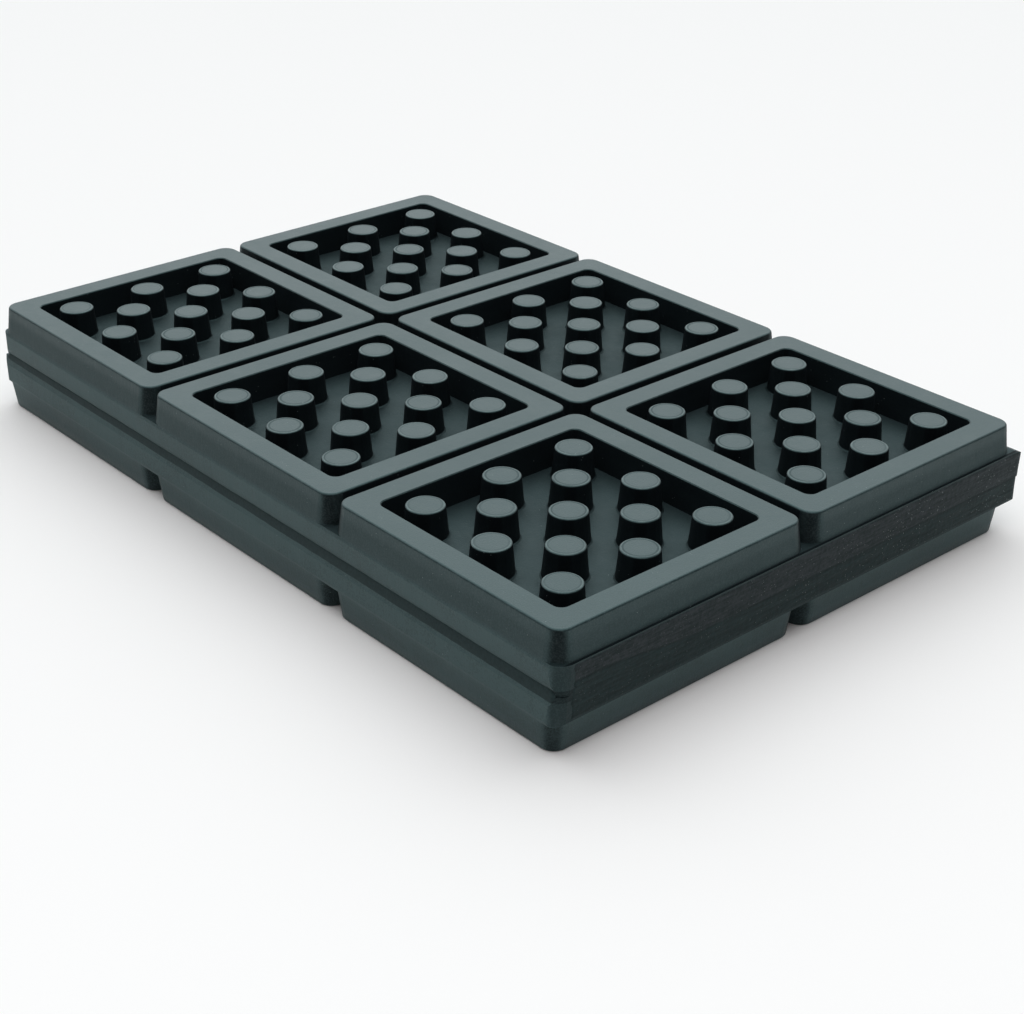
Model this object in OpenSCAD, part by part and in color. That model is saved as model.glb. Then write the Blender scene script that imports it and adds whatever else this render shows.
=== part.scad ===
// Rubber anti-vibration pad for the feet of a machine.
// Two moulded plates are bonded back to back. Each plate is a thick web that carries
// a grid of square cells, and each cell is a raised rim round a pocket full of studs.
// The pad lies flat: its long side is along X and its thickness along Z.
// Lengths are in millimetres.

/* [Cells] */
// Distance from the middle of one cell to the next
cell_pitch = 50; // [44:1:70]
// Number of cells along the pad
cells_long = 3; // [1:1:5]
// Number of cells across the pad
cells_wide = 2; // [1:1:4]
// Height of a cell over its web
cell_h = 4.9; // [3.5:0.1:8]
// Width of the slot between two cells where it meets the web
slot_w = 0.4; // [0.3:0.1:2]
// Radius of a cell's upright corners where they meet the web
cell_corner_r = 3; // [2.5:0.1:5]
// How far a cell's outer wall leans in from the web to the rim
outer_lean = 0.65; // [0.3:0.05:1.2]

/* [Rim] */
// Width of the flat rim round a pocket
rim_w = 4.4; // [2.5:0.1:6]
// Radius of the rim's outer edge
rim_edge_r = 0.4; // [0.2:0.05:0.9]
// Bevel of the rim's inner edge
pocket_bevel = 0.15; // [0.1:0.05:0.5]
// How far a pocket's wall leans in from the rim to the floor
inner_lean = 0.6; // [0.2:0.05:1]
// Radius of a pocket's upright corners at the floor
pocket_corner_r = 0.8; // [0.5:0.1:2.5]

/* [Studs] */
// Number of studs along the wall of a pocket
studs_across = 3; // [2:1:3]
// Diameter of a stud's flat top
stud_top_d = 6; // [4:0.1:7]
// How much wider the radius of a stud is at its foot than at its top
stud_lean = 0.45; // [0.2:0.05:0.6]
// Radius of the edge round a stud's top
stud_edge_r = 0.3; // [0.1:0.05:0.5]
// Size of the bevel where a stud meets the floor
stud_foot = 0.2; // [0.1:0.05:0.5]
// Gap between the foot of an outer stud and the wall of its pocket
stud_gap = 0.75; // [0.3:0.05:1.5]

/* [Web] */
// Thickness of one plate's web
web_t = 4.75; // [3:0.25:8]
// How far the web stands past the cells on the near long edge
near_lip = 0.15; // [0.1:0.05:2]
// How far the web stands past the cells on the far long edge
far_lip = 1.3; // [0.5:0.05:2]
// How far the web stands past the cells at the moulded end
end_lip = 0.5; // [0.1:0.05:2]
// How far the web stands past the cells at the end that was cut
cut_lip = 0.6; // [0.4:0.05:3]
// How far the ledge outside the cells falls from their foot to the web's edge
ledge_fall = 0.5; // [0.1:0.05:1.2]
// How far the cut end leans in from the top of the pad to its underside
cut_lean = 0.1; // [0:0.05:0.6]
// How far a moulded edge leans in towards the bond
edge_lean = 0.15; // [0.05:0.05:0.4]
// Depth of the groove that the two plates leave along the bond
bond_groove_d = 0.55; // [0.2:0.05:1]
// Height of one plate's half of that groove
bond_groove_h = 1.5; // [0.5:0.1:2]
// How far the lower plate slipped along the upper one, and across it, when they were bonded
slip_along = 0.35; // [0:0.05:0.6]
slip_across = 0.3; // [0:0.05:0.6]
// Radius of the web's upright corners, except the one at the far side of the cut end
web_corner_r = 2.6; // [1:0.1:4]

/* [Hidden] */
$fn = 48;
rubber = [0.16, 0.19, 0.19];

plate_h = web_t + cell_h;
// A cell's outer half width where it meets the web, and at the rim
cell_half = (cell_pitch - slot_w) / 2;
rim_half = cell_half - outer_lean;
// A pocket's half width at the rim and at its floor
pocket_half = rim_half - rim_w;
floor_half = pocket_half - inner_lean;
// Radius of a stud at its foot, bevel left out
stud_base_r = stud_top_d / 2 + stud_lean;
// Place of the outer studs from the middle of the cell, and the step between studs
stud_reach = floor_half - stud_gap - stud_foot - stud_base_r;
stud_step = 2 * stud_reach / (studs_across - 1);
// Half length and half width of a plate's grid of cells, and how far the middle of
// the two plates' grids lies from the middle of the pad
grid_half_l = cells_long * cell_pitch / 2 - slot_w / 2;
grid_half_w = cells_wide * cell_pitch / 2 - slot_w / 2;
grid_x = (end_lip + slip_along / 2 - cut_lip) / 2;
grid_y = (near_lip - far_lip) / 2;
// How far cells and studs reach down into the web that they are part of
root = web_t / 4;
// How far a cutter runs past what it cuts
overrun = web_t / 5;

// Half of a body whose wall leans in from base to top and has a rounded top edge.
// X is measured from the body's middle, and the root below zero keeps the base width.
module leaning_half(base, height, lean, edge_r) {
    slope = atan(lean / height);
    centre_z = height - edge_r;
    centre_x = base - lean * centre_z / height - edge_r / cos(slope);
    union() {
        polygon([
            [0, -root],
            [base, -root],
            [base, 0],
            [centre_x + edge_r * cos(slope), centre_z + edge_r * sin(slope)],
            [centre_x, height],
            [0, height]
        ]);
        translate([centre_x, centre_z])
            circle(r = edge_r);
    }
}

// A square body with round upright corners. Its child is the half outline at a corner:
// a quarter turn of it makes each corner, and straight walls of it run between them.
module rounded_square(core, low, high) {
    translate([-core, -core, low])
        cube([2 * core, 2 * core, high - low]);
    for (turn = [0 : 90 : 270])
        rotate([0, 0, turn])
            translate([core, core, 0]) {
                rotate_extrude(angle = 90)
                    children();
                rotate([90, 0, 0])
                    linear_extrude(height = 2 * core)
                        children();
            }
}

// What stands over a cell: leaning walls, round upright corners and a rounded top edge
module cell_block() {
    rounded_square(cell_half - cell_corner_r, -root, cell_h)
        leaning_half(cell_corner_r, cell_h, outer_lean, rim_edge_r);
}

// What is cut from a block: an upright corner with its floor, leaning wall and bevelled mouth
module pocket() {
    at_rim = pocket_corner_r + inner_lean;
    low = -root - overrun;
    high = cell_h + overrun;
    rounded_square(floor_half - pocket_corner_r, low, high)
        polygon([
            [0, low],
            [pocket_corner_r, low],
            [pocket_corner_r, 0],
            [at_rim, cell_h - pocket_bevel],
            [at_rim + pocket_bevel + overrun, high],
            [0, high]
        ]);
}

// One stud: a cone with a rounded top edge and a bevelled foot
module stud() {
    rotate_extrude()
        union() {
            leaning_half(stud_base_r, cell_h, stud_lean, stud_edge_r);
            polygon([
                [0, -root],
                [stud_base_r + stud_foot, -root],
                [stud_base_r + stud_foot, 0],
                [stud_base_r - stud_lean * stud_foot / cell_h, stud_foot],
                [0, stud_foot]
            ]);
        }
}

// The studs stand in rows along the walls, with one more between each four
module studs() {
    for (row = [0 : studs_across - 1], column = [0 : studs_across - 1])
        translate([column * stud_step - stud_reach, row * stud_step - stud_reach, 0])
            stud();
    for (row = [1 : studs_across - 1], column = [1 : studs_across - 1])
        translate([(column - 1 / 2) * stud_step - stud_reach, (row - 1 / 2) * stud_step - stud_reach, 0])
            stud();
}

module cell() {
    difference() {
        cell_block();
        pocket();
    }
    studs();
}

// A moulded edge of the web in section: a sloping ledge, the edge, and its half of
// the groove along the bond
function moulded_edge(foot, lip, groove) = [
    [foot, web_t],
    [foot + lip, web_t - ledge_fall],
    [foot + lip - edge_lean, bond_groove_h],
    [foot + lip - edge_lean - groove, 0]
];

function turned_over(points) = [for (i = [len(points) - 1 : -1 : 0]) [-points[i].x, points[i].y]];

// The far long edge meets the bond without a groove
module web_across() {
    polygon(concat(
        moulded_edge(grid_half_w, far_lip, 0),
        turned_over(moulded_edge(grid_half_w, near_lip, bond_groove_d))
    ));
}

// The end that was cut, at a distance from the plate's middle, falls and leans there by
// a part at its ledge and leans by another at the bond
module web_along(cut, fall, lean_top, lean_bond) {
    polygon(concat(
        [[grid_half_l, web_t], [cut - lean_top, web_t - fall], [cut - lean_bond, 0]],
        turned_over(moulded_edge(grid_half_l, end_lip, bond_groove_d))
    ));
}

// What is trimmed off a square corner at the origin to leave a round one
module corner_waste(r) {
    difference() {
        translate([-r, -r])
            square(r + overrun);
        translate([-r, -r])
            circle(r = r);
    }
}

module web(cut, fall, lean_top, lean_bond) {
    difference() {
        intersection() {
            rotate([90, 0, 90])
                linear_extrude(height = 2 * (grid_half_l + cell_half), center = true)
                    web_across();
            rotate([90, 0, 0])
                linear_extrude(height = 2 * (grid_half_w + cell_half), center = true)
                    web_along(cut, fall, lean_top, lean_bond);
        }
        for (corner = [
            [-grid_half_l - end_lip, -grid_half_w - near_lip],
            [-grid_half_l - end_lip, grid_half_w + far_lip],
            [cut, -grid_half_w - near_lip]
        ])
            translate([corner.x, corner.y, -overrun])
                mirror([corner.x < 0 ? 1 : 0, 0, 0])
                    mirror([0, corner.y < 0 ? 1 : 0, 0])
                        linear_extrude(height = web_t + 2 * overrun)
                            corner_waste(web_corner_r);
    }
}

// The cells of one plate, which stand on a web whose top is at web_t
module cells() {
    for (i = [0 : cells_long - 1], j = [0 : cells_wide - 1])
        translate([(i - (cells_long - 1) / 2) * cell_pitch, (j - (cells_wide - 1) / 2) * cell_pitch, web_t])
            cell();
}

// The ledge at the cut end is level on the upper plate and slopes on the lower one
module upper_plate() {
    cut = grid_half_l + cut_lip - slip_along / 2;
    color(rubber)
        translate([grid_x + slip_along / 2, grid_y + slip_across / 2, plate_h]) {
            web(cut, 0, 0, cut_lean / 2);
            cells();
        }
}

module lower_plate() {
    cut = grid_half_l + cut_lip + slip_along / 2;
    color(rubber)
        translate([grid_x - slip_along / 2, grid_y - slip_across / 2, plate_h])
            mirror([0, 0, 1]) {
                web(cut, ledge_fall, cut_lean, cut_lean / 2);
                cells();
            }
}

upper_plate();
lower_plate();
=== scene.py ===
import math
import bpy
from mathutils import Matrix, Vector, noise


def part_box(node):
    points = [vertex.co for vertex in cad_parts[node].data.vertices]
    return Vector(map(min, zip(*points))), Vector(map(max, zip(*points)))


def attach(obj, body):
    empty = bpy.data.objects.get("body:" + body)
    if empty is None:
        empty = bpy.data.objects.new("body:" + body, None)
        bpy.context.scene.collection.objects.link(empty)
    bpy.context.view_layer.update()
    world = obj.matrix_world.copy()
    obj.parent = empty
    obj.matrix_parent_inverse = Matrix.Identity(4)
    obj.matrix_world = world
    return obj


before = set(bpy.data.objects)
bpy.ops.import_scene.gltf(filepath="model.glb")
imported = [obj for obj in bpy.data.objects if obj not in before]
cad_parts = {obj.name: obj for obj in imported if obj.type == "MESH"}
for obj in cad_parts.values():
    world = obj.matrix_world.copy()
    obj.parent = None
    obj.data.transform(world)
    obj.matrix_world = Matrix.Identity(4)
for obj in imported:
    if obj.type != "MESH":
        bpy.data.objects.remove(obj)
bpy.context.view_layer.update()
print("frame loaded:", ", ".join(sorted(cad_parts)))

mm = 0.001
scene = bpy.context.scene
upperLow, upperHigh = (Vector(corner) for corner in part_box("upper_plate"))
lowerLow, lowerHigh = (Vector(corner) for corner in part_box("lower_plate"))
bondLevel = upperLow.z
plateHeight = upperHigh.z - bondLevel

# What the plates' boxes don't tell about their form
mould = {
    "cellHeight": 4.9 * mm,
    "cellPitch": 50 * mm,
    "studStep": 14.75 * mm,
    "cellsFromCorner": (75.3 * mm, 49.95 * mm),  # the middle of the cells, from the low corner
    "cornerRadius": 2.6 * mm,
    "edgeLean": 0.15 * mm,
    "grooveDepth": 0.55 * mm,
    "grooveHeight": 1.5 * mm,
    "ledgeFall": 0.5 * mm,
    "farLip": 1.3 * mm,
    "cutLean": 0.1 * mm,
}


# Shader maths as plain expressions
class Wire:
    def __init__(self, recipe, socket):
        self.recipe, self.socket = recipe, socket

    def maths(self, operation, *others):
        parts = dict(enumerate([self, *others]))
        return self.recipe.node("ShaderNodeMath", {"operation": operation}, parts)

    def __add__(self, other):
        return self.maths("ADD", other)

    def __sub__(self, other):
        return self.maths("SUBTRACT", other)

    def __rsub__(self, other):
        return self.recipe.node("ShaderNodeMath", {"operation": "SUBTRACT"}, {0: other, 1: self})

    def __mul__(self, other):
        return self.maths("MULTIPLY", other)

    def __lt__(self, other):
        return self.maths("LESS_THAN", other)

    def size(self):
        return self.maths("ABSOLUTE")

    def orMore(self, other):
        return self.maths("MAXIMUM", other)

    __radd__, __rmul__ = __add__, __mul__


class Recipe:
    def __init__(self, owner):
        owner.use_nodes = True
        self.owner = owner
        self.tree = owner.node_tree
        self.tree.nodes.clear()

    def node(self, kind, settings=None, sockets=None, output=0):
        made = self.tree.nodes.new(kind)
        for key, value in (settings or {}).items():
            setattr(made, key, value)
        for key, value in (sockets or {}).items():
            if isinstance(value, Wire):
                self.tree.links.new(value.socket, made.inputs[key])
            else:
                made.inputs[key].default_value = value
        return Wire(self, made.outputs[output]) if made.outputs else made

    def place(self):
        return self.node("ShaderNodeTexCoord", output=3)

    def split(self, vector):
        made = self.node("ShaderNodeSeparateXYZ", {}, {0: vector})
        return [Wire(self, socket) for socket in made.socket.node.outputs]

    def blendColours(self, factor, first, second):
        sockets = {0: factor, 6: first, 7: second}
        return self.node("ShaderNodeMix", {"data_type": "RGBA"}, sockets, output=2)

    def smooth(self, value, low, high, start=0.0, end=1.0):
        sockets = {0: value, 1: low, 2: high, 3: start, 4: end}
        return self.node("ShaderNodeMapRange", {"interpolation_type": "SMOOTHSTEP"}, sockets)

    def stretched(self, vector, scale):
        return self.node("ShaderNodeVectorMath", {"operation": "MULTIPLY"}, {0: vector, 1: scale})

    def noise(self, vector, scale, detail=3.0, roughness=0.55):
        sockets = {"Vector": vector, "Scale": scale, "Detail": detail, "Roughness": roughness}
        return self.node("ShaderNodeTexNoise", {}, sockets)

    def cells(self, vector, scale):
        return self.node("ShaderNodeTexVoronoi", {}, {"Vector": vector, "Scale": scale})

    def bump(self, height, strength, distance):
        sockets = {"Height": height, "Strength": strength, "Distance": distance}
        return self.node("ShaderNodeBump", {}, sockets)

    def surface(self, sockets):
        return self.node("ShaderNodeBsdfPrincipled", {}, sockets)

    def finish(self, shader, kind="ShaderNodeOutputMaterial"):
        self.node(kind, {}, {"Surface": shader})
        return self.owner


def newRecipe(name):
    return Recipe(bpy.data.materials.new(name))


# Each wire times its share, added up
def weighed(shares, wires):
    first, *others = (wire * share for share, wire in zip(shares, wires))
    return sum(others, first)


# Specks of dust: small round cells, few of them shown, in loose crowds
speck = {
    "crowdScale": 0.06,
    "rareScale": 0.61,
    "crowding": 0.5,
}


def specks(r, place, scale, size, rarity):
    crowd = r.noise(place, scale * speck["crowdScale"], 2.0)
    rare = r.noise(place, scale * speck["rareScale"], 0.0)
    shown = r.smooth(rare + (crowd - 0.5) * speck["crowding"], *rarity)
    return (r.cells(place, scale) < size) * shown


# Rubber as it left the mould, with painted shade, painted floor light and a painted highlight among
# its colours
rubber = {
    "colour": (0.0050, 0.0072, 0.0082, 1),
    "greyed": (0.0290, 0.0370, 0.0390, 1),
    # painted shade: the darker colour of the pockets, the stud sides and the ledge over the cut face
    "deep": (0.0052, 0.0070, 0.0088, 1),
    # painted light: a lighter colour standing in for the floor's reflection on the outside of the web
    # and lower cells
    "paintedFloorLight": (0.0365, 0.0540, 0.0560, 1),
    # painted shade at the pad's foot: only this share of the painted floor light is left there
    "floorLightAtFoot": 0.6,  # how much of it is left at the pad's foot
    # painted highlight on the studs' lips
    "lipHighlight": (0.0700, 0.0900, 0.0900, 1),
    "ior": 1.60,
    "tint": (0.60, 0.98, 1.0, 1),
    "roughness": 0.35,
    "dulled": 0.15,
    "deepDulled": 0.12,
    "matteRoughness": 0.55,
    "matteLevel": 0.05,
    # Scale, detail and roughness of the noises
    "smudge": (70.0, 5.0, 0.6),
    "waves": (420.0, 4.0, 0.6),
    "grain": (4200.0, 2.0),
    "streaks": (2600.0, 2.0),
    "streakStretch": (1, 1, 0.05),
    # Shares of smudge, waves and grain in the greyness, the painted floor light's patches and the
    # gloss
    "greyShares": (0.22, 0.28, 0.50),
    "greyBands": ((0.42, 0.72), (0.42, 0.72), (0.40, 0.68)),
    "patchShares": (0.4, 0.2, 0.4),
    "patchBand": (0.38, 0.60, 0.35, 1.20),
    "glossShares": (0.20, 0.16, 0.14),
    "insideShadeBand": (0.55, 0.75, 1.0, 0.8),
    "lipHighlightBand": (0.35, 0.65),
    "streakGloss": 0.10,
    # Shares of grain, waves and streaks in the relief, its strength and its depth
    "reliefShares": (0.60, 0.70, 0.35),
    "relief": (0.28, 0.2 * mm),
    "dust": (0.17, 0.20, 0.20, 1),
    "dustScale": 1500.0,
    "dustSize": 0.10,
    "dustRarity": (0.66, 0.72),
    "dustShown": 0.8,
}

# Where the finishes, the painted shade and the painted floor light lie on a plate, each from one
# number to the other
limits = {
    "level": (0.35, 0.75),  # how much of a surface faces up or down
    "deep": (plateHeight - 2.5 * mm, plateHeight - 1 * mm),  # from the bond
    "ends": (71.8 * mm, 72.0 * mm),  # along the pad, from its middle
    "sides": (46.8 * mm, 47.0 * mm),  # across the pad, from its middle
    "floorLightTop": (13.7 * mm, 14.9 * mm),
    "floorLightFoot": (4.0 * mm, 5.2 * mm),
    "cell": (plateHeight - mould["cellHeight"], plateHeight - mould["cellHeight"] + 0.3 * mm),
    "corner": (0.30, 0.98),
    "nearCut": (72.4 * mm, 72.8 * mm),
    "turned": (0.15, 0.60),
    "web": (4.6 * mm, 4.8 * mm),
    "groove": (0.8 * mm, 1.1 * mm),
    "cutLedge": (74.90 * mm, 75.05 * mm),
    "ledgeTop": (14.5 * mm, 14.7 * mm),
}

# How much of the gloss is gone in each place
matteShares = {
    "corner": 0.95,
    "wall": 0.7,
    "ledge": 0.9,
    "turned": 0.40,
    "grooveShadeEnd": 0.75,
}


# Masks of the surfaces that stand upright, lie deep, lie inside with painted shade, carry the painted
# floor light and are matte. Beside the cut end the web's corner, turned from the light, loses the
# painted floor light as painted shade, the groove's painted shade goes on past the groove's end, and
# the ledge above the cut face gets the insides' painted shade
def plateMasks(r, place):
    x, y, z = r.split(place)
    facing = r.split(r.node("ShaderNodeNewGeometry", output=1))
    fromBond = (z - bondLevel).size()
    upright = 1 - r.smooth(facing[2].size(), *limits["level"])
    deep = r.smooth(fromBond, *limits["deep"], 1.0, 0.0)
    outer = r.smooth(x.size(), *limits["ends"]).orMore(r.smooth(y.size(), *limits["sides"]))
    outside = outer * upright

    nearCut = r.smooth(x, *limits["nearCut"])
    onWeb = r.smooth(fromBond, *limits["web"], 1.0, 0.0)
    turned = r.smooth(facing[0], *limits["turned"]) * onWeb * nearCut
    # painted shade: the groove's dark band goes on past the end of the groove
    grooveShadeEnd = r.smooth(fromBond, *limits["groove"], 1.0, 0.0) * nearCut * (y < 0) * upright
    # painted shade on the ledge above the cut face
    ledge = r.smooth(x, *limits["cutLedge"]) * r.smooth(z, *limits["ledgeTop"], 1.0, 0.0)
    ledge = ledge * (1 - upright)

    # the insides, pockets and stud sides, take painted shade
    shadedInside = ((1 - outside) * upright.orMore(deep)).orMore(ledge)
    # painted floor light, less at the pad's foot as painted shade, and taken off beside the cut end
    # as painted shade
    floorLit = outside * r.smooth(z, *limits["floorLightTop"], 1.0, 0.0)
    floorLit = floorLit * r.smooth(z, *limits["floorLightFoot"], rubber["floorLightAtFoot"], 1.0)
    floorLit = floorLit * (1 - turned.orMore(grooveShadeEnd))

    corner = r.smooth((facing[0] * facing[1]).size() * 2, *limits["corner"])
    corner = corner * r.smooth(fromBond, *limits["cell"]) * upright
    dim = (corner * matteShares["corner"]).orMore(shadedInside * upright * matteShares["wall"])
    dim = dim.orMore(ledge * matteShares["ledge"]).orMore(turned * matteShares["turned"])
    dim = dim.orMore(grooveShadeEnd * matteShares["grooveShadeEnd"])
    return upright, deep, shadedInside, floorLit, dim


# Tops are smoothest, upright corners and pockets are matte, the insides are darker as painted shade,
# and a painted floor light in patches, standing in for the floor's reflection, lies on the outside of
# the web and of the lower cells
def mouldedRubber(name, dulled=0.0, lipHighlight=0.0):
    r = newRecipe(name)
    place = r.place()
    upright, deep, shadedInside, floorLit, dim = plateMasks(r, place)
    grain = r.noise(place, *rubber["grain"])
    waves = r.noise(place, *rubber["waves"])
    smudge = r.noise(place, *rubber["smudge"])
    streaks = r.noise(r.stretched(place, rubber["streakStretch"]), *rubber["streaks"])
    layers = smudge, waves, grain

    banded = [r.smooth(layer, *band) for layer, band in zip(layers, rubber["greyBands"])]
    grey = weighed(rubber["greyShares"], banded)
    colour = r.blendColours(grey, rubber["colour"], rubber["greyed"])
    # painted shade: the insides lose the grey and take the darker colour
    colour = r.blendColours(shadedInside * r.smooth(grain, *rubber["insideShadeBand"]), colour, rubber["deep"])
    patchy = r.smooth(weighed(rubber["patchShares"], layers), *rubber["patchBand"])
    # painted light standing in for the floor's reflection
    colour = r.blendColours(floorLit * patchy, colour, rubber["paintedFloorLight"])
    # painted highlight on the studs' lips
    if lipHighlight:
        highlighted = r.smooth(waves, *rubber["lipHighlightBand"])
        colour = r.blendColours(highlighted * lipHighlight, colour, rubber["lipHighlight"])
    dust = specks(r, place, rubber["dustScale"], rubber["dustSize"], rubber["dustRarity"])
    colour = r.blendColours(dust * rubber["dustShown"], colour, rubber["dust"])

    uneven = weighed(rubber["glossShares"], [layer - 0.5 for layer in layers])
    dull = upright.orMore(deep) * rubber["dulled"] + deep * rubber["deepDulled"] + dulled
    streaky = (streaks - 0.5) * upright * rubber["streakGloss"]
    height = weighed(rubber["reliefShares"], (grain, waves, streaks * upright))
    common = {
        "Base Color": colour,
        "IOR": rubber["ior"],
        "Specular Tint": rubber["tint"],
        "Normal": r.bump(height, *rubber["relief"]),
    }
    satin = r.surface({**common, "Roughness": rubber["roughness"] + dull + uneven + streaky})
    flat = {"Roughness": rubber["matteRoughness"], "Specular IOR Level": rubber["matteLevel"]}
    flat = r.surface({**common, **flat})
    return r.finish(r.node("ShaderNodeMixShader", {}, {0: dim, 1: satin, 2: flat}))


plateRubber = mouldedRubber("mouldedRubber")
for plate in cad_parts.values():
    plate.data.materials.clear()
    plate.data.materials.append(plateRubber)
print("plates dressed")


def makePiece(name, points, faces, *materials):
    mesh = bpy.data.meshes.new(name)
    mesh.from_pydata(points, [], faces)
    mesh.polygons.foreach_set("use_smooth", [True] * len(faces))
    for material in materials:
        mesh.materials.append(material)
    piece = bpy.data.objects.new(name, mesh)
    scene.collection.objects.link(piece)
    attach(piece, "root")
    return piece


# Faces of a grid whose points come line by line
def gridFaces(lines, steps):
    faces = []
    for line in range(lines):
        for step in range(steps):
            corner = line * (steps + 1) + step
            faces.append((corner, corner + 1, corner + steps + 2, corner + steps + 1))
    return faces


# Stud tops: a dished middle, a dull ring and a soft raised lip with a painted highlight
studTop = {
    # Radius and height in mm, from the middle outward and down into the stud
    "profile": (
        (0.00, 0.020), (1.40, 0.024), (2.25, 0.030), (2.36, 0.027), (2.43, 0.016), (2.56, 0.016),
        (2.64, 0.034), (2.72, 0.046), (2.79, 0.038), (2.86, 0.010), (2.92, -0.032),
        (2.98, -0.105), (3.022, -0.215), (2.95, -0.36),
    ),
    "steps": 40,
    "ringBands": (3, 4, 5),
    "lipBands": (6, 7, 8, 9),
    "lipVaries": 0.35,
    "lipPhase": 12.9,
    "ringVaries": 0.05,
    "ringPhase": 7.3,
    "clearEvery": 3,  # one stud in so many has a clear ring
    "faintRing": 0.10,
    "clearRing": 0.22,
    # share of the painted highlight on the lips
    "paintedLipHighlight": 0.9,
}


# Rows of studs along the walls of each cell, and one more between each four
def studPlaces(plateLow):
    step = mould["studStep"]
    rows = [(i * step, j * step) for i in (-1, 0, 1) for j in (-1, 0, 1)]
    inner = [(i * step / 2, j * step / 2) for i in (-1, 1) for j in (-1, 1)]
    middle = plateLow.xy + Vector(mould["cellsFromCorner"])
    for column in (-1, 0, 1):
        for row in (-0.5, 0.5):
            for x, y in rows + inner:
                yield (
                    middle.x + column * mould["cellPitch"] + x,
                    middle.y + row * mould["cellPitch"] + y,
                )


# The middle of a top, then ring after ring of points round it. Lips and rings vary a
# little from stud to stud
def studTopPoints(number, x, y, level, outward):
    (_, middleHeight), *rings = studTop["profile"]
    lip = 1 + studTop["lipVaries"] * math.sin(number * studTop["lipPhase"])
    widen = studTop["ringVaries"] * math.sin(number * studTop["ringPhase"])
    yield x, y, level + outward * middleHeight * mm
    for ring, (radius, height) in enumerate(rings, 1):
        if ring < studTop["lipBands"][0]:
            radius += widen
        if height > 0:
            height *= lip
        for step in range(studTop["steps"]):
            turn = math.tau * step / studTop["steps"]
            yield (
                x + radius * mm * math.cos(turn),
                y + radius * mm * math.sin(turn),
                level + outward * height * mm,
            )


# A top's faces, each with the number of its material
def studTopFaces(number, first, outward):
    steps = studTop["steps"]
    ringSlot = 2 if number % studTop["clearEvery"] == studTop["clearEvery"] - 1 else 1
    order = 1 if outward > 0 else -1
    for step in range(steps):
        after = (step + 1) % steps
        yield (first, first + 1 + step, first + 1 + after)[::order], 0
        for band in range(1, len(studTop["profile"]) - 1):
            inner, outer = first + 1 + (band - 1) * steps, first + 1 + band * steps
            face = (inner + step, outer + step, outer + after, inner + after)
            slot = ringSlot if band in studTop["ringBands"] else 0
            yield face[::order], 3 if band in studTop["lipBands"] else slot


def makeStudTops(name, plateLow, level, outward, *materials):
    points, faces, slots = [], [], []
    for number, (x, y) in enumerate(studPlaces(plateLow)):
        first = len(points)
        points.extend(studTopPoints(number, x, y, level, outward))
        for face, slot in studTopFaces(number, first, outward):
            faces.append(face)
            slots.append(slot)
    piece = makePiece(name, points, faces, *materials)
    piece.data.polygons.foreach_set("material_index", slots)


# the lips' material carries a painted highlight
studRubbers = (
    plateRubber,
    mouldedRubber("faintRing", dulled=studTop["faintRing"]),
    mouldedRubber("clearRing", dulled=studTop["clearRing"]),
    mouldedRubber("paintedLipHighlight", lipHighlight=studTop["paintedLipHighlight"]),
)
makeStudTops("upperStudTops", upperLow, upperHigh.z, 1, *studRubbers)
makeStudTops("lowerStudTops", lowerLow, lowerLow.z, -1, *studRubbers)
print("stud tops made")


# The bond: a dull strip of bonding rubber that half fills the groove
bond = {
    "above": (0.62 * mm, 0.88 * mm),  # at the strip's start and at its end
    "below": (0.70 * mm, 1.12 * mm),
    "growth": 0.8,
    "driftAbove": 0.05 * mm,
    "driftBelow": 0.07 * mm,
    "driftLength": 9 * mm,
    "driftNoise": (0.8, 2.0, 3),
    "proud": 0.05 * mm,
    "bulge": 0.03 * mm,
    "crumb": 0.02 * mm,
    "crumbLength": 0.9 * mm,
    "crumbRows": 2,
    "crumbSeed": 3.3,
    "crumbNoise": (0.9, 2.0, 2),
    "sunk": 0.10 * mm,
    "taper": 1.1 * mm,
    "blunt": 0.1 * mm,
    "fromCorner": 1.2 * mm,
    "fromCut": 1.0 * mm,
    "step": 0.35 * mm,
    "rows": 8,
    "colour": (0.0130, 0.0200, 0.0205, 1),
    "roughness": 0.68,
    "uneven": 0.2,
    "level": 0.4,
    "grit": (2300.0, 3.0, 0.6),
    "gritBand": (0.3, 0.7),
    "relief": (0.3, 0.15 * mm),
}

# The lines that the strips follow: the near long side, and the moulded end
bondLines = {
    "bondStripSide": {
        "start": upperLow.x + bond["fromCorner"],
        "end": upperHigh.x - bond["fromCut"],
        "corners": (upperLow.x, upperHigh.x),
        "upperEdge": -upperLow.y,
        "lowerEdge": -lowerLow.y,
        "seed": 0.0,
        "place": lambda out, along, level: (along, -out, level),
    },
    "bondStripEnd": {
        "start": -upperHigh.y + bond["fromCorner"],
        "end": -upperLow.y - bond["fromCorner"],
        "corners": (-upperHigh.y, -upperLow.y),
        "upperEdge": -upperLow.x,
        "lowerEdge": -lowerLow.x,
        "seed": -50.0,
        "place": lambda out, along, level: (-out, -along, level),
    },
}


# How far out the strip lies: on the slope of the groove, at a distance from the bond, and
# near a round corner of the web within that corner
def stripOut(edge, fromBond, along, corners):
    slope = mould["grooveDepth"] / mould["grooveHeight"]
    out = edge - mould["edgeLean"] - (mould["grooveHeight"] - fromBond) * slope
    radius = mould["cornerRadius"]
    past = max(corners[0] + radius - along, along - corners[1] + radius, 0)
    return min(out, edge - radius + math.sqrt(max(radius**2 - past**2, 0)) + bond["proud"])


def between(pair, share):
    return pair[0] + (pair[1] - pair[0]) * share


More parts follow.
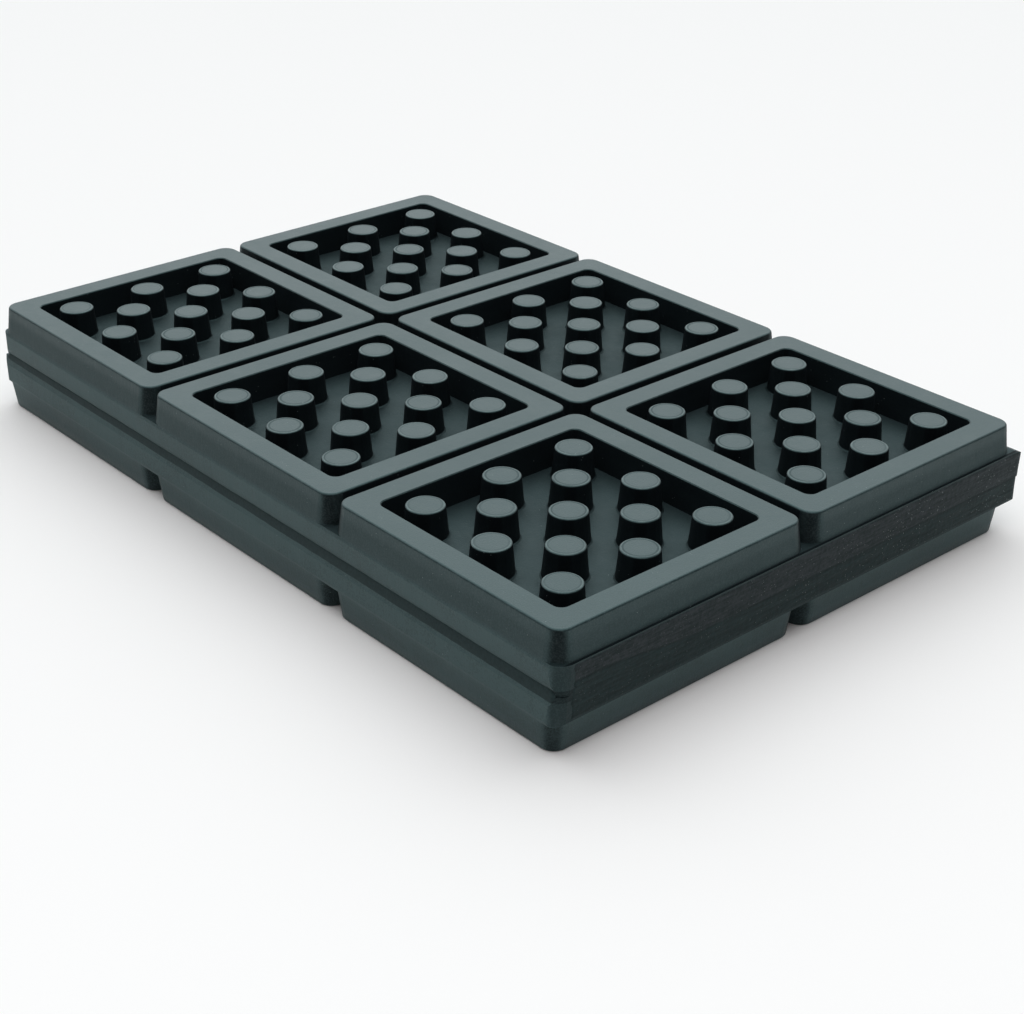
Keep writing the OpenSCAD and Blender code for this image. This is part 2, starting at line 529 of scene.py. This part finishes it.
# The strip's section at a share of its length: how far it reaches above and below the
# bond, and how far out its top and its foot lie
def stripSection(line, along, share):
    grown = share ** bond["growth"]
    spot = Vector((along / bond["driftLength"], 0, line["seed"]))
    drift = noise.fractal(spot, *bond["driftNoise"])
    above = between(bond["above"], grown) + drift * bond["driftAbove"]
    below = between(bond["below"], grown) - drift * bond["driftBelow"]
    top = stripOut(line["upperEdge"], above, along, line["corners"])
    foot = stripOut(line["lowerEdge"], below, along, line["corners"])
    toEnd = min(along - line["start"], line["end"] - along)
    narrow = math.sqrt(min(1, (toEnd + bond["blunt"]) / bond["taper"]))
    return above * narrow, below * narrow, top, foot


def makeBondStrip(name, line, material):
    columns = round((line["end"] - line["start"]) / bond["step"])
    rows = bond["rows"]
    points = []
    for column in range(columns + 1):
        along = between((line["start"], line["end"]), column / columns)
        above, below, top, foot = stripSection(line, along, column / columns)
        for row in range(rows + 1):
            part = row / rows
            out = between((top, foot), part) + bond["bulge"] * math.sin(math.pi * part)
            spot = (along / bond["crumbLength"], part * bond["crumbRows"], bond["crumbSeed"])
            out += noise.fractal(Vector(spot), *bond["crumbNoise"]) * bond["crumb"]
            if row in (0, rows) or column in (0, columns):
                out -= bond["sunk"]
            points.append(line["place"](out, along, bondLevel + above - (above + below) * part))
    makePiece(name, points, gridFaces(columns, rows), material)


def bondRubber(name):
    r = newRecipe(name)
    grit = r.noise(r.place(), *bond["grit"])
    colour = r.blendColours(r.smooth(grit, *bond["gritBand"]), rubber["colour"], bond["colour"])
    return r.finish(r.surface({
        "Base Color": colour,
        "Roughness": bond["roughness"] + (grit - 0.5) * bond["uneven"],
        "Specular IOR Level": bond["level"],
        "Specular Tint": rubber["tint"],
        "Normal": r.bump(grit, *bond["relief"]),
    }))


bondStuff = bondRubber("bondRubber")
for name, line in bondLines.items():
    makeBondStrip(name, line, bondStuff)
print("bond made")


# The cut end: a torn and sawn skin over the flat face
cutEnd = {
    "step": 0.18 * mm,
    "margin": 0.10 * mm,
    "lift": 0.012 * mm,
    "relief": 0.10 * mm,
    "sink": 0.06 * mm,
    "fade": 0.35 * mm,
    "ragged": 0.4 * mm,
    "raggedLength": 1.1 * mm,
    "raggedSeed": 2.2,
    # Marks that make up the relief: their share, their turns in a mm along and up the face,
    # a seed, and the fractal's settings
    "ground": 0.45,
    "saw": (0.22, 0.12, 1.5, 1.7, (0.8, 2.1, 3)),
    "chatter": (0.18, 1.5, 0.35, 5.1, (0.9, 2.0, 2)),
    "tear": (0.35, 0.55, 0.9, 9.4, (0.7, 2.2, 4)),
    # Two seams run along the face and rise at its near side. The first parts the greys
    "seamRise": 1.9 * mm,
    "seamBend": (-44 * mm, -22 * mm),
    "seamWobble": 0.22 * mm,
    "wobbleLength": 7 * mm,
    "wobbleSeed": 0.3,
    "seams": (
        {
            "offset": 0.0, "depth": 0.75, "width": 0.22 * mm,
            "shown": 0.9, "dark": (0.08 * mm, 0.28 * mm),
        },
        {
            "offset": -2.1 * mm, "depth": 0.35, "width": 0.18 * mm,
            "shown": 0.45, "dark": (0.05 * mm, 0.25 * mm),
        },
    ),
    "upperGrey": (0.0325, 0.0320, 0.0370, 1),
    "lowerGrey": (0.0140, 0.0235, 0.0245, 1),
    "greyLimit": (-0.25 * mm, 0.15 * mm),
    "greyStray": 0.9 * mm,
    "pit": (0.0030, 0.0038, 0.0042, 1),
    "pitShares": (0.6, 0.4),
    "pitBand": (0.36, 0.66),
    "pitCleared": 0.85,
    "roughness": 0.66,
    "uneven": 0.25,
    "level": 0.3,
    "mottle": (1700.0, 4.0, 0.65),
    "sawLines": (2700.0, 2.0),
    "sawStretch": (1, 0.08, 1),
    "clouds": (900.0 / 7, 3.0),
    "cloudBand": (0.3, 0.6, 0.4, 1.0),
    "bumpShares": (0.7, 0.5),
    "bump": (0.5, 0.2 * mm),
    "dust": (0.26, 0.28, 0.28, 1),
    "dustScale": 2300.0,
    "dustSize": 0.15,
    "dustRarity": (0.50, 0.62),
    "dustFrom": (-45 * mm, 35 * mm, 0.25, 1.0),
}


# The skin ends raggedly at the near corner, and at the far side it follows the ledge
def cutFaceEnds(level):
    low, high = (upperLow, upperHigh) if level > bondLevel else (lowerLow, lowerHigh)
    spot = Vector((cutEnd["raggedSeed"], 0.0, level / cutEnd["raggedLength"]))
    near = low.y + mould["cornerRadius"] + noise.noise(spot) * cutEnd["ragged"]
    far = high.y - mould["edgeLean"]
    ledgeFoot = upperHigh.z - mould["cellHeight"] - mould["ledgeFall"]
    if level > ledgeFoot:
        far -= (level - ledgeFoot) / mould["ledgeFall"] * mould["farLip"]
    return near, far


def seamLine(along):
    low, high = cutEnd["seamBend"]
    share = min(1, max(0, (along - low) / (high - low)))
    rise = cutEnd["seamRise"] * (1 - share * share * (3 - 2 * share))
    spot = Vector((along / cutEnd["wobbleLength"], cutEnd["wobbleSeed"], 0.0))
    return rise + noise.noise(spot) * cutEnd["seamWobble"]


def cutRelief(along, level):
    height = cutEnd["ground"]
    for kind in ("saw", "chatter", "tear"):
        share, turnsAlong, turnsUp, seed, fractal = cutEnd[kind]
        spot = Vector((along / mm * turnsAlong, level / mm * turnsUp, seed))
        height += share * noise.fractal(spot, *fractal)
    for seam in cutEnd["seams"]:
        gap = (level - bondLevel - seam["offset"] - seamLine(along)) / seam["width"]
        height -= seam["depth"] * math.exp(-gap * gap)
    return min(1, max(0, height))


def makeCutSkin():
    foot = lowerLow.z + mould["cellHeight"] + mould["ledgeFall"] + cutEnd["margin"]
    head = upperHigh.z - mould["cellHeight"] - cutEnd["margin"]
    rows = round((head - foot) / cutEnd["step"])
    columns = round((upperHigh.y - upperLow.y) / cutEnd["step"])
    points = []
    for row in range(rows + 1):
        level = between((foot, head), row / rows)
        near, far = cutFaceEnds(level)
        near, far = near + cutEnd["margin"], far - cutEnd["margin"]
        face = upperHigh.x - mould["cutLean"] * (head - level) / (head - foot)
        for column in range(columns + 1):
            along = between((near, far), column / columns)
            toEdge = min(level - foot, head - level, along - near, far - along)
            shown = min(1, toEdge / cutEnd["fade"])
            lift = cutEnd["lift"] + cutEnd["relief"] * cutRelief(along, level)
            points.append((face + between((-cutEnd["sink"], lift), shown), along, level))
    makePiece("cutSkin", points, gridFaces(rows, columns), cutRubber("cutRubber"))


# Above the first seam the face is lighter, below it greener, and both seams are dark
def cutRubber(name):
    r = newRecipe(name)
    place = r.place()
    y, z = r.split(place)[1:]
    fromSeam = z - bondLevel - r.smooth(y, *cutEnd["seamBend"], cutEnd["seamRise"], 0.0)
    mottle = r.noise(place, *cutEnd["mottle"])
    saw = r.noise(r.stretched(place, cutEnd["sawStretch"]), *cutEnd["sawLines"])
    clouds = r.noise(place, *cutEnd["clouds"])

    above = r.smooth(fromSeam + (clouds - 0.5) * cutEnd["greyStray"], *cutEnd["greyLimit"])
    colour = r.blendColours(above, cutEnd["lowerGrey"], cutEnd["upperGrey"])
    light = r.smooth(weighed(cutEnd["pitShares"], (mottle, saw)), *cutEnd["pitBand"])
    colour = r.blendColours(light * cutEnd["pitCleared"], cutEnd["pit"], colour)
    lines = weighed(
        [seam["shown"] for seam in cutEnd["seams"]],
        [1 - r.smooth((fromSeam - seam["offset"]).size(), *seam["dark"]) for seam in cutEnd["seams"]],
    )
    colour = r.blendColours(lines * r.smooth(clouds, *cutEnd["cloudBand"]), colour, cutEnd["pit"])
    dust = specks(r, place, cutEnd["dustScale"], cutEnd["dustSize"], cutEnd["dustRarity"])
    colour = r.blendColours(dust * r.smooth(y, *cutEnd["dustFrom"]), colour, cutEnd["dust"])
    return r.finish(r.surface({
        "Base Color": colour,
        "Roughness": cutEnd["roughness"] + (mottle - 0.5) * cutEnd["uneven"],
        "Specular IOR Level": cutEnd["level"],
        "Specular Tint": rubber["tint"],
        "Normal": r.bump(weighed(cutEnd["bumpShares"], (mottle, saw)), *cutEnd["bump"]),
    }))


makeCutSkin()
print("cut end made")


# Floor, light and camera
studio = {
    "floorSize": 3.0,
    "floorColour": (0.965, 0.925, 0.915, 1),
    "skyAzimuth": 54.0,
    "skyElevation": 58.0,
    "skySpread": (0.33, 1.0),
    "skyColour": (0.92, 0.985, 1.0, 1),
    "skyFront": 0.15,
    "skyBack": 1.90,
    "horizon": 0.92,
    "horizonBand": (0.03, 0.11),
    "keySize": 0.9,
    "keyColour": (1.0, 0.93, 0.93),
    "keyPower": 2.2,
    "keyPlace": (0.45, -0.40, 0.95),
}


def makeFloor():
    half = studio["floorSize"] / 2
    mesh = bpy.data.meshes.new("floor")
    corners = [(-half, -half, 0), (half, -half, 0), (half, half, 0), (-half, half, 0)]
    mesh.from_pydata(corners, [], [(0, 1, 2, 3)])
    floor = bpy.data.objects.new("floor", mesh)
    scene.collection.objects.link(floor)
    r = newRecipe("paleFloor")
    shader = r.node("ShaderNodeBsdfDiffuse", {}, {"Color": studio["floorColour"]})
    mesh.materials.append(r.finish(shader))


# A big soft light stands behind the pad, and the side that faces it is dim but for a
# pale horizon that carries the floor on
def makeWorld():
    world = bpy.data.worlds.new("studio")
    r = Recipe(world)
    az, el = (math.radians(studio[key]) for key in ("skyAzimuth", "skyElevation"))
    source = (-math.sin(az) * math.cos(el), math.cos(az) * math.cos(el), math.sin(el))
    direction = r.node("ShaderNodeTexCoord", output=0)
    towards = r.node(
        "ShaderNodeVectorMath", {"operation": "DOT_PRODUCT"}, {0: direction, 1: source}, output=1
    )
    strength = r.smooth(towards, *studio["skySpread"], studio["skyFront"], studio["skyBack"])
    height = r.split(direction)[2]
    strength = strength.orMore(r.smooth(height, *studio["horizonBand"], studio["horizon"], 0.0))
    sockets = {"Color": studio["skyColour"], "Strength": strength}
    shader = r.node("ShaderNodeBackground", {}, sockets)
    scene.world = r.finish(shader, "ShaderNodeOutputWorld")


def makeLamp():
    data = bpy.data.lights.new("softbox", "AREA")
    data.shape = "SQUARE"
    data.size = studio["keySize"]
    data.color = studio["keyColour"]
    data.energy = studio["keyPower"]
    lamp = bpy.data.objects.new("softbox", data)
    lamp.location = studio["keyPlace"]
    lamp.rotation_mode = "QUATERNION"
    lamp.rotation_quaternion = (-Vector(studio["keyPlace"])).to_track_quat("-Z", "Y")
    scene.collection.objects.link(lamp)


view = {
    "place": (226.68 * mm, -192.73 * mm, 148.41 * mm),
    "azimuth": 48.463,
    "elevation": 27.901,
    "roll": 0.545,
    "lens": 66.721,
    "sensor": 36.0,
    "clip": (0.01, 20),
}


def makeCamera():
    data = bpy.data.cameras.new("camera")
    data.sensor_fit = "HORIZONTAL"
    data.sensor_width = view["sensor"]
    data.lens = view["lens"]
    data.clip_start, data.clip_end = view["clip"]
    camera = bpy.data.objects.new("camera", data)
    az, el, roll = (math.radians(view[key]) for key in ("azimuth", "elevation", "roll"))
    back = Vector((math.sin(az) * math.cos(el), -math.cos(az) * math.cos(el), math.sin(el)))
    right = Vector((math.cos(az), math.sin(az), 0))
    up = back.cross(right)
    across = math.cos(roll) * right + math.sin(roll) * up
    along = math.cos(roll) * up - math.sin(roll) * right
    turn = Matrix((across, along, back)).transposed().to_4x4()
    camera.matrix_world = Matrix.Translation(view["place"]) @ turn
    scene.collection.objects.link(camera)
    scene.camera = camera


makeFloor()
makeWorld()
makeLamp()
makeCamera()
scene.view_settings.view_transform = "Standard"
print("stage set")
